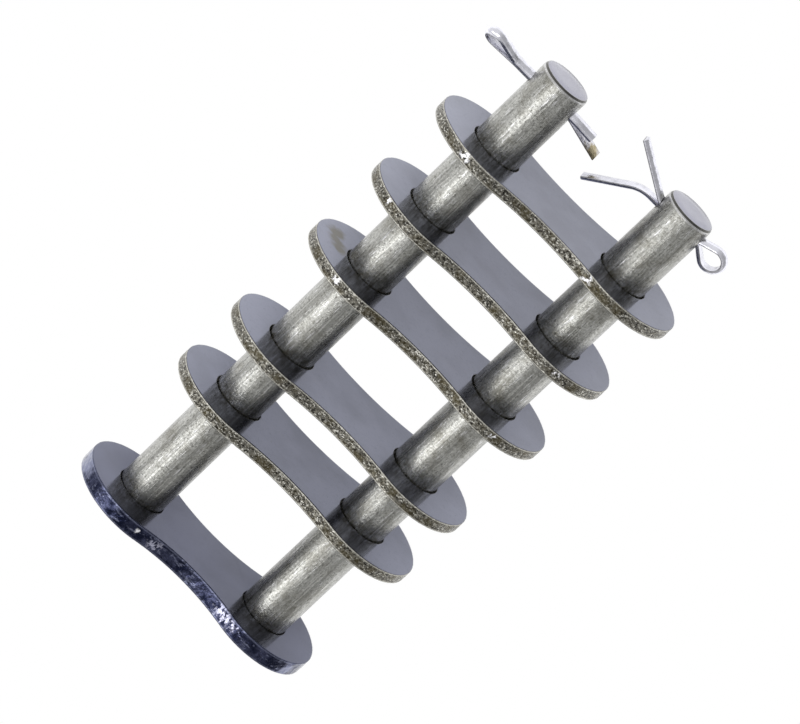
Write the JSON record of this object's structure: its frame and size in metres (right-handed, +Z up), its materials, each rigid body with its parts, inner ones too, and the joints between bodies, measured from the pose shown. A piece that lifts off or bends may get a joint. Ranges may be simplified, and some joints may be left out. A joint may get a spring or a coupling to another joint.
{
  "type": "roller chain connecting link",
  "caption": "Cottered connecting link of a triplex roller chain: a blued end plate with riveted pins, loose waisted plates and bent split pins.",
  "frame": {"origin": "middle of the base of the whole link as it lies on the rims of its plates", "axes": "+X along the chain pitch from pin_a to pin_b, +Y along the pins from the riveted plate to the split pins, +Z up"},
  "size_m": [0.0492, 0.0976, 0.0205],
  "materials": {
    "blued_steel": "blued, oiled, mottled punched edge",
    "ground_pin_steel": "ground, with oil tarnish",
    "rolled_plate_steel": "smooth oiled faces, speckled grey-brown punched edge",
    "bright_wire": "bright half-round wire"
  },
  "bodies": {
    "riveted_plate_and_pins": {"riveted_plate": "blued_steel", "pin_a": "ground_pin_steel", "pin_b": "ground_pin_steel"},
    "middle_plate_1": {"middle_plate_1": "rolled_plate_steel"},
    "middle_plate_2": {"middle_plate_2": "rolled_plate_steel"},
    "middle_plate_3": {"middle_plate_3": "rolled_plate_steel"},
    "middle_plate_4": {"middle_plate_4": "rolled_plate_steel"},
    "cover_plate": {"cover_plate": "rolled_plate_steel"},
    "split_pin_a": {"split_pin_a": "bright_wire"},
    "split_pin_b": {"split_pin_b": "bright_wire"}
  },
  "joints": [
    {"name": "middle_plate_1_slide", "type": "slide", "parent": "riveted_plate_and_pins", "child": "middle_plate_1", "axis": [0, 1, 0], "range_m": [-0.01923, 0.00469]},
    {"name": "middle_plate_2_slide", "type": "slide", "parent": "riveted_plate_and_pins", "child": "middle_plate_2", "axis": [0, 1, 0], "range_m": [-0.00469, 0.00724]},
    {"name": "middle_plate_3_slide", "type": "slide", "parent": "riveted_plate_and_pins", "child": "middle_plate_3", "axis": [0, 1, 0], "range_m": [-0.00724, 0.00564]},
    {"name": "middle_plate_4_slide", "type": "slide", "parent": "riveted_plate_and_pins", "child": "middle_plate_4", "axis": [0, 1, 0], "range_m": [-0.00564, 0.00564]},
    {"name": "cover_plate_slide", "type": "slide", "parent": "riveted_plate_and_pins", "child": "cover_plate", "axis": [0, 1, 0], "range_m": [-0.00564, 0.0042]},
    {"name": "split_pin_a_slide", "type": "slide", "parent": "riveted_plate_and_pins", "child": "split_pin_a", "axis": [1, 0, 0], "range_m": [-0.0002, 0.0029]},
    {"name": "split_pin_b_swivel", "type": "hinge", "parent": "riveted_plate_and_pins", "child": "split_pin_b", "pos_m": [0.01436, 0.04274, 0.01024], "axis": [1, 0, 0], "range_deg": [-90, 15]}
  ]
}
